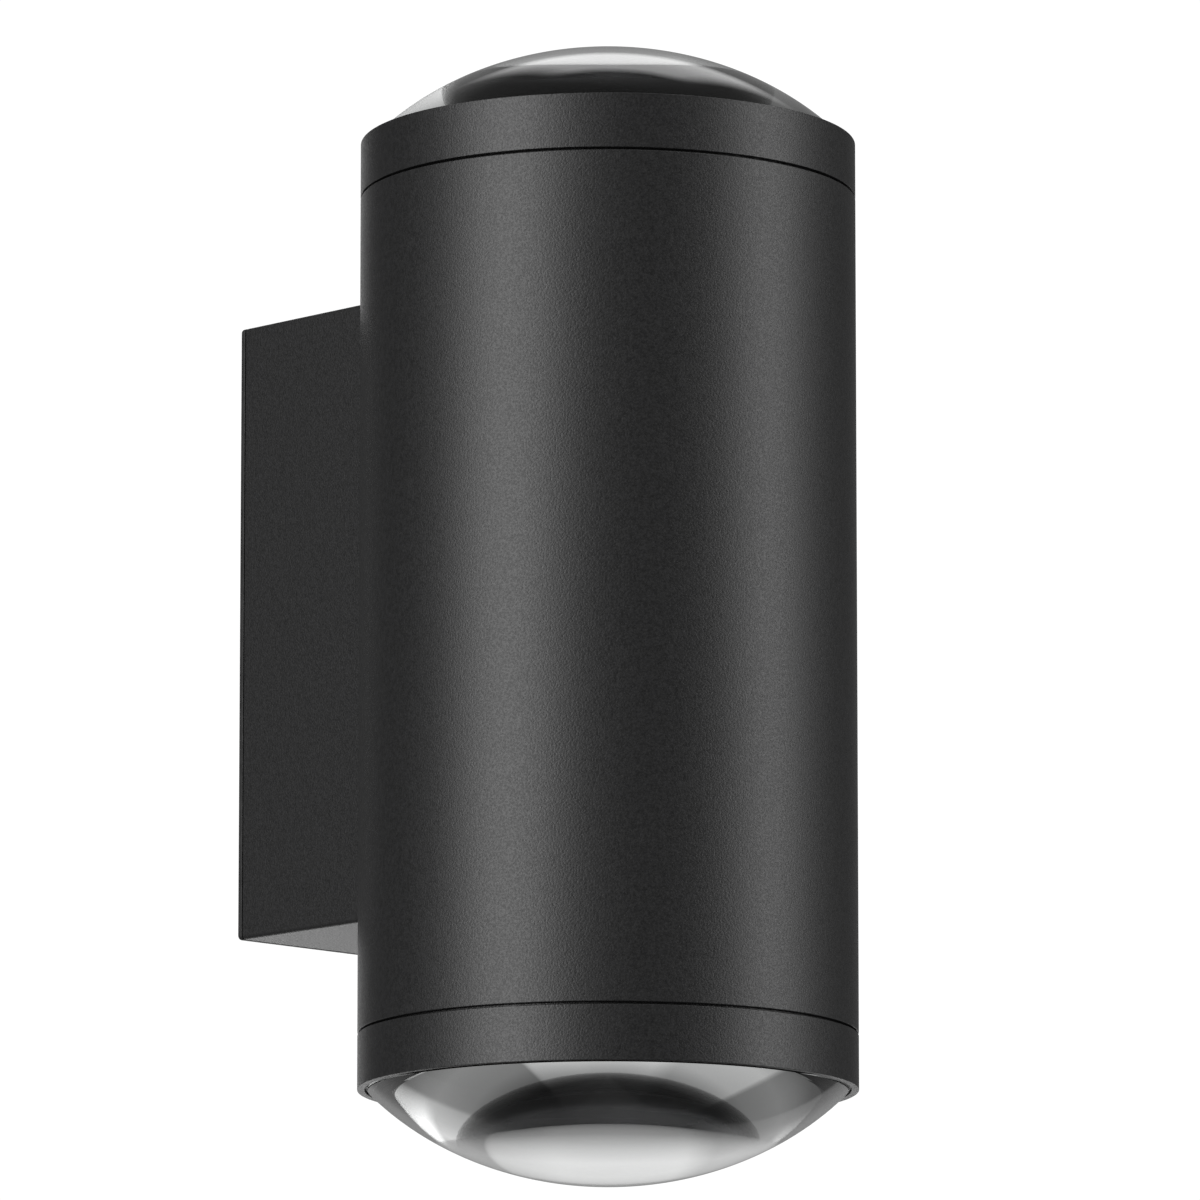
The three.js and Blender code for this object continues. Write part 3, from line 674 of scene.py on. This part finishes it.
def make_reflector(end):
    low, high = -23.5, 3.6
    inner, outer = [], []
    count = 24
    for k in range(count + 1):
        share = k / count
        radius, height = 11 + 32 * math.sqrt(share), low + (high - low) * share
        inner.append((radius, height))
        outer.append((radius + 0.9, height - 0.1 - (0.6 if k == count else 0)))
    outline = inner + [(46.3, high), (46.5, high - 0.3), (46.3, high - 0.6)] + outer[::-1]
    stand_for(lathe("reflector", outline), f"{end}_reflector", ENDS[end])


# ---- Box ----------------------------------------------------------------------------------------------------

BOX_WALL = 2.5
BOX_CORNER = 1.0
CAVITY = -33.5  # the floor of the box's hollow
RETAINING_Y = -20


def make_box():
    low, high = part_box("wall_box")
    half_width, half_height = high.x / MM, (high.z - low.z) / 2 / MM
    back = high.y / MM
    axis_y, middle_z = AXIS_Y / MM, MIDDLE_Z / MM
    box = slab(rectangle(-half_width, half_width, -half_height, half_height, BOX_CORNER), axis_y, back, "Y")
    soften(box, 0.35, 3)
    w, h = half_width - BOX_WALL, half_height - BOX_WALL
    cut(box, slab(rectangle(-w, w, -h, h, 1.0), CAVITY, back + 5, "Y"))
    cut(box, rod(BODY_RADIUS + 0.4, (0, axis_y, -90), (0, axis_y, 90), ROUND))
    pad = slab(rectangle(-17.5, 17.5, middle_z - 34.5, middle_z + 34.5, 1.0), axis_y, 0, "Y")
    combine(pad, "INTERSECT", rod(BODY_RADIUS + 1.2, (0, axis_y, -90), (0, axis_y, 90), ROUND))
    cut(box, pad)
    for z in BOLTS:
        cut(box, rod(BOLT_HOLE, (0, axis_y, middle_z + z), (0, -20, middle_z + z)))
    cut(box, rod(NIPPLE_HOLE, (0, axis_y, middle_z), (0, -20, middle_z)))
    for side in (-1, 1):
        inside, outside = side * (half_height - 4), side * (half_height + 1)
        cut(box, rod(M4_HOLE, (0, RETAINING_Y, inside), (0, RETAINING_Y, outside)))
    stand_for(box, "wall_box")


def make_saddle_gasket():
    inner, outer, reach = BODY_RADIUS + 0.15, BODY_RADIUS + 1.05, 34
    pad = lathe("pad", [(inner, -reach), (outer, -reach), (outer, reach), (inner, reach)], 2 * ROUND)
    combine(pad, "INTERSECT", slab(rectangle(-17, 17, -reach + 0.01, reach - 0.01, 3), 30, 60, "Y"))
    for z in BOLTS:
        cut(pad, rod(BOLT_HOLE, (0, 40, z), (0, 60, z)))
    cut(pad, rod(NIPPLE_HOLE, (0, 40, 0), (0, 60, 0)))
    stand_for(pad, "saddle_gasket", TUBE)


def laid_down(z_metres):
    """The place of a turned piece that lies along Y: it is drawn about Z, and its +Z then faces the front."""
    return Matrix.Translation((0, 0, z_metres)) @ Matrix.Rotation(math.pi / 2, 4, "X")


def threaded_rod(outer, length, pitch, depth, segments=SMALL, inner=0.0, start=0.0):
    """A threaded rod or tube from start up to start + length, with a plain lead-in at both ends."""
    end = start + length

    def radius_at(radius, height, angle):
        if abs(radius - outer) > 0.001:
            return radius
        groove = 1 - abs(2 * ((height / pitch - angle / (2 * math.pi)) % 1) - 1)
        fade = max(0, min(1, (height - start - 0.3) / pitch, (end - 0.3 - height) / pitch))
        return radius - depth * groove * fade

    outline = [(inner, start), (outer - 0.3, start), (outer, start + 0.3)]
    outline += [(outer, z) for z in steps(start + 0.3, end - 0.3, pitch / 5)]
    outline += [(outer, end - 0.3), (outer - 0.3, end), (inner, end)]
    return lathe("threaded", outline, segments, radius_at)


def make_nipple():
    low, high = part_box("cable_nipple")
    length = (high.y - low.y) / MM
    nipple = threaded_rod(4.9, length, 1.0, 0.5, inner=3.6, start=-high.y / MM)
    stand_for(nipple, "cable_nipple", laid_down(MIDDLE_Z))


def make_nut(node):
    """A hexagonal nut with both faces' corners turned off at 30 degrees."""
    low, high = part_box(node)
    start, end, corner = -high.y / MM, -low.y / MM, (high.z - low.z) / 2 / MM
    hexagon = [on_circle(corner, 90 + 60 * k) for k in range(6)]
    nut = slab(hexagon, start, end)
    drop = 0.6
    cone = [(0, start - 1), (corner - 1, start), (corner + 0.1, start + drop), (corner + 0.1, end - drop)]
    cone += [(corner - 1, end), (0, end + 1)]
    combine(nut, "INTERSECT", lathe("cone", cone, SMALL))
    bore = [(0, start - 1), (6.2, start - 1), (5.2, start + 0.4)]
    bore += [(5.2, end - 0.4), (6.2, end + 1), (0, end + 1)]
    stand_for(cut(nut, lathe("bore", bore)), node, laid_down(MIDDLE_Z))


# ---- Wall side ----------------------------------------------------------------------------------------------

CABLE_Z = 36
EARTH = (13, 30)
TERMINAL_SCREW = (-12, 22)


def slot_shape(x, z, half_length, radius, upright):
    """A stadium-shaped cutter through the plate."""
    points = []
    for k in range(24):
        angle = 2 * math.pi * (k + 0.5) / 24
        dx, dz = radius * math.cos(angle), radius * math.sin(angle)
        if upright:
            points.append((x + dx, z + dz + math.copysign(half_length, dz)))
        else:
            points.append((x + dx + math.copysign(half_length, dx), z + dz))
    return slab(points, -5, 1, "Y")


def make_mount_plate():
    low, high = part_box("mount_plate")
    top, reach = high.z / MM, low.y / MM
    plate = slab(rectangle(low.x / MM, high.x / MM, -62, 62, 3), -2, 0, "Y")
    for side in (-1, 1):
        bend = [(0, side * 40), (0, side * top, 3), (reach, side * top), (reach, side * (top - 2))]
        bend += [(-2, side * (top - 2), 1), (-2, side * 40)]
        tab = slab(rounded_outline(bend, 6), -9, 9, "X")
        corners = rounded_outline([(-9, 1), (-9, reach, 3), (9, reach, 3), (9, 1)], 6)
        combine(tab, "INTERSECT", slab(corners, -70, 70))
        join(plate, tab)
        cut(plate, rod(M4_HOLE, (0, RETAINING_Y, side * 50), (0, RETAINING_Y, side * 70)))
    cut(plate, slot_shape(0, 50, 3.5, 2.6, False), slot_shape(0, -50, 3.5, 2.6, True))
    cut(plate, rod(7.5, (0, -5, CABLE_Z), (0, 1, CABLE_Z)))
    for x, z in (EARTH, TERMINAL_SCREW):
        cut(plate, rod(M3_HOLE, (x, -5, z), (x, 1, z)))
    stand_for(soften(plate, 0.15), "mount_plate")


def make_wall_gasket():
    low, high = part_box("wall_gasket")
    w, h, front = high.x / MM, high.z / MM, low.y / MM
    gasket = slab(rectangle(-w, w, -h, h, BOX_CORNER), front, 0, "Y")
    w, h = w - BOX_WALL, h - BOX_WALL
    cut(gasket, slab(rectangle(-w, w, -h, h, 1.0), front - 1, 1, "Y"))
    stand_for(soften(gasket, 0.2), "wall_gasket")


def make_grommet():
    bore, neck, brim, seat = 4, 7.3, 10, 2.3
    outline = [(bore, 0.2, 0.3), (neck, 0.2, 0.4), (neck, seat, 0.1), (brim, seat, 0.3), (brim, seat + 1.6, 0.5)]
    outline += [(8.3, seat + 1.9, 0.3), (8.0, seat + 2.7, 0.3), (7.3, seat + 2.8, 0.2), (7.1, seat + 3.6, 0.3)]
    outline += [(6.5, seat + 4.5, 0.4), (bore, seat + 4.5, 0.4)]
    stand_for(lathe("grommet", rounded_outline(outline)), "cable_grommet", laid_down(CABLE_Z * MM))


def make_terminal_block():
    """Three towers on one base, each with a clamp well in front and a wire entry below and above."""
    block = slab(rectangle(-6, 18, 9, 23, 1), -12.5, -2.3, "Y")
    join(block, slab(rectangle(-16, -5.5, 17, 26, 1.5), -5.3, -2.3, "Y"))
    for pole in range(3):
        x = -3 + 9 * pole
        left, right = x - (3 if pole == 0 else 3.9), x + (3 if pole == 2 else 3.9)
        join(block, slab(rectangle(left, right, 9.01, 22.99, 1), -17, -12, "Y"))
        cut(block, rod(2.1, (x, -18, 16), (x, -15.4, 16)), rod(1.4, (x, -16, 16), (x, -12, 16)))
        cut(block, rod(1.8, (x, -8, 8), (x, -8, 14)), rod(1.8, (x, -8, 18), (x, -8, 24)))
    x, z = TERMINAL_SCREW
    cut(block, rod(M3_HOLE, (x, -6, z), (x, 0, z)))
    stand_for(soften(block, 0.25), "terminal_block")


# ---- Screws -------------------------------------------------------------------------------------------------

# Head radius and height, shank radius and length, socket radius, thread pitch.
SCREWS = {
    "m3": (2.7, 1.8, 1.45, 7.0, 1.1, 0.5),
    "m4": (3.5, 2.2, 1.95, 6.5, 1.4, 0.7),
    "m5": (4.2, 4.0, 2.45, 14.0, 2.2, 0.8),
    "foot": (2.7, 1.8, 1.45, 5.4, 1.1, 0.5),
    "earth": (2.7, 1.8, 1.45, 4.2, 1.1, 0.5),
    "clamp": (1.8, 1.2, 1.2, 3.0, 0.8, 0.5),
}


def screw_mesh(size):
    """A socket-head screw whose head stands on Z = 0 and whose shank runs down."""
    head, height, shank, length, socket, pitch = SCREWS[size]
    crown = 0.25 * height
    outline = [(0, height), (head - crown, height, 0.1), (head, height - crown, 0.2), (head, 0, 0.12), (0, 0)]
    body = lathe("head", rounded_outline(outline), 40)
    shaft = threaded_rod(shank, length + 0.5, pitch, 0.54 * pitch, 24, start=-length)
    join(body, shaft)
    hexagon = [on_circle(socket, 30 + 60 * k) for k in range(6)]
    mesh = cut(body, slab(hexagon, 0.45 * height, height + 1)).data
    bpy.data.objects.remove(body)
    return mesh


def make_screws():
    meshes = {size: screw_mesh(size) for size in SCREWS}
    places = [("terminal_screw", "foot", "+y"), ("earth_screw", "earth", "+y")]
    places += [(f"clamp_screw_{i}", "clamp", "+y") for i in (1, 2, 3)]
    places += [("box_bolt_upper", "m5", "-y"), ("box_bolt_lower", "m5", "-y")]
    places += [("retaining_screw_upper", "m4", "-z"), ("retaining_screw_lower", "m4", "+z")]
    places += [("driver_screw_upper", "m3", "-z"), ("driver_screw_lower", "m3", "+z")]
    for end, shank in (("upper", "-z"), ("lower", "+z")):
        places += [(f"{end}_sink_screw_{i}", "m3", shank) for i in (1, 2, 3)]
        places += [(f"{end}_holder_screw_{side}", "m3", shank) for side in ("left", "right")]
    for node, size, shank in places:
        low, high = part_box(node)
        axis = "xyz".index(shank[1])
        direction = Vector([0, 0, 0])
        direction[axis] = 1 if shank[0] == "+" else -1
        seat = (low + high) / 2
        head_top = low[axis] if shank[0] == "+" else high[axis]
        seat[axis] = head_top + direction[axis] * SCREWS[size][1] * MM
        screw = bpy.data.objects.new(node, meshes[size].copy())
        bpy.context.scene.collection.objects.link(screw)
        turn = Vector((0, 0, -1)).rotation_difference(direction).to_matrix().to_4x4()
        stand_for(screw, node, Matrix.Translation(seat) @ turn)


# ---- Driver -------------------------------------------------------------------------------------------------


def make_driver_bracket():
    low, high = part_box("driver_bracket")
    width, top, back = high.x / MM, (high.z - low.z) / 2 / MM, 46
    u_shape = [(4, -top), (back, -top, 3), (back, top, 3), (4, top), (4, top - 2), (back - 2, top - 2, 1)]
    u_shape += [(back - 2, -top + 2, 1), (4, -top + 2)]
    bracket = slab(rounded_outline(u_shape, 6), -width, width, "X")
    corners = rounded_outline([(-width, 4, 4), (-width, back + 5), (width, back + 5), (width, 4, 4)], 6)
    combine(bracket, "INTERSECT", slab(corners, -40, 40))
    for z in BOLTS:
        join(bracket, rod(5, (0, 41, z), (0, 48, z)))
        cut(bracket, rod(2.65, (0, 30, z), (0, 50, z)))
    cut(bracket, rod(9.5, (0, 30, 0), (0, 50, 0)), rod(M3_HOLE, (0, 14, -40), (0, 14, 40)))
    stand_for(soften(bracket, 0.2), "driver_bracket", TUBE)


def make_driver_case():
    """A moulded case with a parting groove, vents in both sides and a shallow recess in front."""
    low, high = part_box("driver_case")
    w, h = high.x / MM, (high.z - low.z) / 2 / MM
    front, back = (low.y - AXIS_Y) / MM, (high.y - AXIS_Y) / MM
    case = soften(slab(rectangle(-w, w, -h, h, 2), front, back, "Y"), 0.8, 3)
    groove = slab(rectangle(-w - 1, w + 1, -h - 1, h + 1), 18.8, 19.2, "Y")
    cut(groove, slab(rectangle(-w + 0.5, w - 0.5, -h + 0.5, h - 0.5, 2), 18, 20, "Y"))
    cut(case, groove)
    for z in range(-15, 16, 5):
        low_z, high_z = z - 0.8, z + 0.8
        vent = rounded_outline([(4, low_z, 0.7), (14, low_z, 0.7), (14, high_z, 0.7), (4, high_z, 0.7)])
        for side in (-1, 1):
            x0, x1 = sorted((side * (w - 1.2), side * (w + 1)))
            cut(case, slab(vent, x0, x1, "X"))
    cut(case, slab(rectangle(-11, 11, -9, 9, 1.5), front - 1, front + 0.4, "Y"))
    for z in (-h, h):
        cut(case, rod(M3_HOLE, (0, 14, z - 8), (0, 14, z + 8)))
    cut(case, rod(3.4, (0, back - 6, 12), (0, back + 1, 12)))
    for z in (-16, 16):
        cut(case, rod(2.2, (0, front - 1, z), (0, front + 6, z)))
    stand_for(case, "driver_case", TUBE)


# ---- Light source, one at each end ---------------------------------------------------------------------------

HOLDER_SCREW_X = 14
SINK_FACE = -29.7
BOARD_TOP = -27.9
HOLDER_TOP = -23.7


def holder_screw_holes(radius, low, high):
    return [rod(radius, (x, 0, low), (x, 0, high)) for x in (-HOLDER_SCREW_X, HOLDER_SCREW_X)]


def make_heat_sink(end):
    radius, back = TUBE_BORE - 0.4, SINK_FACE - 4
    outline = [(0, back), (radius, back, 0.4), (radius, SINK_FACE, 0.4), (0, SINK_FACE)]
    sink = lathe("sink", rounded_outline(outline))
    for x in (-28, -20, -12, 12, 20, 28):
        half = math.sqrt(38**2 - x**2)
        depth = back - 10
        fin = [(-half + 2, back + 1), (-half + 2, depth, 1.5), (half - 6, depth, 1.5), (half - 6, back + 1)]
        join(sink, slab(rounded_outline(fin), x - 0.8, x + 0.8, "X"))
    for angle in PORT_ANGLES:
        x, y = on_circle(PORT_CIRCLE, angle)
        cut(sink, rod(M3_HOLE, (x, y, back - 1), (x, y, SINK_FACE + 1)))
    lead_hole = rod(3, (0, -26, back - 11), (0, -26, SINK_FACE + 1))
    cut(sink, *holder_screw_holes(M3_HOLE, back - 1, SINK_FACE + 1), lead_hole)
    stand_for(sink, f"{end}_heat_sink", ENDS[end])


def make_board(end):
    low = BOARD_TOP - 1.6
    outline = [(0, low), (21, low, 0.15), (21, BOARD_TOP, 0.15), (0, BOARD_TOP)]
    board = lathe("board", rounded_outline(outline), 96)
    cut(board, *holder_screw_holes(M3_HOLE, low - 1, BOARD_TOP + 1))
    for angle in (45, 135, 225, 315):
        x, y = on_circle(21.3, angle)
        cut(board, rod(1.6, (x, y, low - 1), (x, y, BOARD_TOP + 1)))
    stand_for(board, f"{end}_led_board", ENDS[end])


def make_emitter(end):
    """A dam around a slightly sunken, domed field of phosphor."""
    low, top = BOARD_TOP + 0.2, BOARD_TOP + 1.0
    arc = [math.radians(degrees) for degrees in range(90, -1, -15)]
    field = [(6.1 * math.sin(angle), top - 0.3 + 0.12 * math.cos(angle)) for angle in arc]
    outline = [(0, low), (7, low), (7, top - 0.2), (6.8, top), (6.4, top)] + field
    stand_for(lathe("emitter", outline, 96), f"{end}_led_emitter", ENDS[end])


def make_holder(end):
    low = BOARD_TOP + 0.2
    outline = [(7.6, low, 0.1), (20, low, 0.3), (20, HOLDER_TOP - 1.6, 0.4), (18, HOLDER_TOP, 0.4)]
    outline += [(9.6, HOLDER_TOP, 0.3)]
    holder = lathe("holder", rounded_outline(outline), 96)
    wells = holder_screw_holes(3, HOLDER_TOP - 2.2, HOLDER_TOP + 1)
    cut(holder, *holder_screw_holes(M3_HOLE, low - 1, HOLDER_TOP + 1), *wells)
    cut(holder, slab(rectangle(-1.5, 1.5, -21, -16), low + 0.8, HOLDER_TOP + 1))
    for angle in (60, 120, 240, 300):
        x, y = on_circle(14, angle)
        cut(holder, rod(1.8, (x, y, HOLDER_TOP - 0.8), (x, y, HOLDER_TOP + 1), 32))
    stand_for(holder, f"{end}_led_holder", ENDS[end])


# ---- Leads --------------------------------------------------------------------------------------------------


def smooth_route(points, per_span=10):
    """A centripetal Catmull-Rom curve through the points, whose ends run on straight."""
    points = [Vector(p) for p in points]
    points = [2 * points[0] - points[1]] + points + [2 * points[-1] - points[-2]]
    route = []
    for a, b, c, d in zip(points, points[1:], points[2:], points[3:]):
        t1 = math.sqrt((b - a).length)
        t2 = t1 + math.sqrt((c - b).length)
        t3 = t2 + math.sqrt((d - c).length)
        for k in range(per_span):
            t = t1 + (t2 - t1) * k / per_span
            ab, bc, cd = a.lerp(b, t / t1), b.lerp(c, (t - t1) / (t2 - t1)), c.lerp(d, (t - t2) / (t3 - t2))
            abc, bcd = ab.lerp(bc, t / t2), bc.lerp(cd, (t - t1) / (t3 - t1))
            route.append(abc.lerp(bcd, (t - t1) / (t2 - t1)))
    return route + [points[-2]]


def lead(points, radius, sides=20):
    """A round lead along a smooth route, with slightly domed ends."""
    route = smooth_route(points)
    bm = bmesh.new()
    side = Vector((1, 0, 0))
    rings = []
    for i, centre in enumerate(route):
        ahead = (route[min(i + 1, len(route) - 1)] - route[max(i - 1, 0)]).normalized()
        up = ahead.cross(side).normalized()
        side = up.cross(ahead).normalized()
        here = radius * (0.85 if i in (0, len(route) - 1) else 1)
        ring = []
        for k in range(sides):
            angle = 2 * math.pi * k / sides
            ring.append(bm.verts.new(centre + here * (math.cos(angle) * side + math.sin(angle) * up)))
        rings.append(ring)
    for low, high in zip(rings, rings[1:]):
        for k in range(sides):
            n = (k + 1) % sides
            bm.faces.new((low[k], low[n], high[n], high[k]))
    bm.faces.new(rings[0])
    bm.faces.new(rings[-1])
    return to_object("lead", bm)


def make_led_lead(end):
    points = [(0, 2, -73), (0, -8, -72.5), (0, -20, -65), (0, -26, -53), (0, -26, -37.7), (0, -26, -28.7)]
    points += [(0, -24.8, -26.3), (0, -21.5, -25.4), (0, -17, -25.4)]
    stand_for(lead(points, 1.2), f"{end}_led_lead", ENDS[end])


def make_mains_lead():
    route = [(0, -67, 7.7), (0, -62, 7.7), (0, -53, -1), (0, -47, -4.3)]
    route += [(0, -30, -4.3), (0, -21, -4), (3, -15, 0)]
    sheath = lead(route, 2.8)
    for x in (-3, 6, 15):
        spread = (x - 3) * 0.15
        core = [(2.4 + spread, -16, -0.8), (3.4 + spread * 2, -12.6, 1.6), (x, -8.4, 6), (x, -8, 12.5)]
        join(sheath, lead(core, 0.9, 16))
    stand_for(sheath, "mains_lead")


def make_earth_lead():
    x, z = EARTH
    eye = rod(3.2, (x, -4.1, z), (x, -2.3, z))
    cut(eye, rod(1.75, (x, -5, z), (x, -1, z)))
    points = [(x, -3.3, z + 2.6), (x, -3.6, z + 5), (x + 0.8, -6.5, z + 6)]
    points += [(15, -8.5, z + 3), (15, -8, 24), (15, -8, 20)]
    stand_for(join(eye, lead(points, 0.85, 16)), "earth_lead")


# ---- Everything -----------------------------------------------------------------------------------------------

make_camera()
make_studio()
make_tube()
make_box()
make_saddle_gasket()
make_nipple()
for node in ("nipple_nut_box", "nipple_nut_tube"):
    make_nut(node)
make_mount_plate()
make_wall_gasket()
make_grommet()
make_terminal_block()
make_screws()
make_driver_bracket()
make_driver_case()
make_mains_lead()
make_earth_lead()
for end in ENDS:
    make_ring(end)
    make_lens(end)
    make_seals(end)
    make_reflector(end)
    make_heat_sink(end)
    make_board(end)
    make_emitter(end)
    make_holder(end)
    make_led_lead(end)

for name, node in frame["nodes"].items():
    node.data.materials.clear()
    node.data.materials.append(MATERIALS[slot_of[name]])
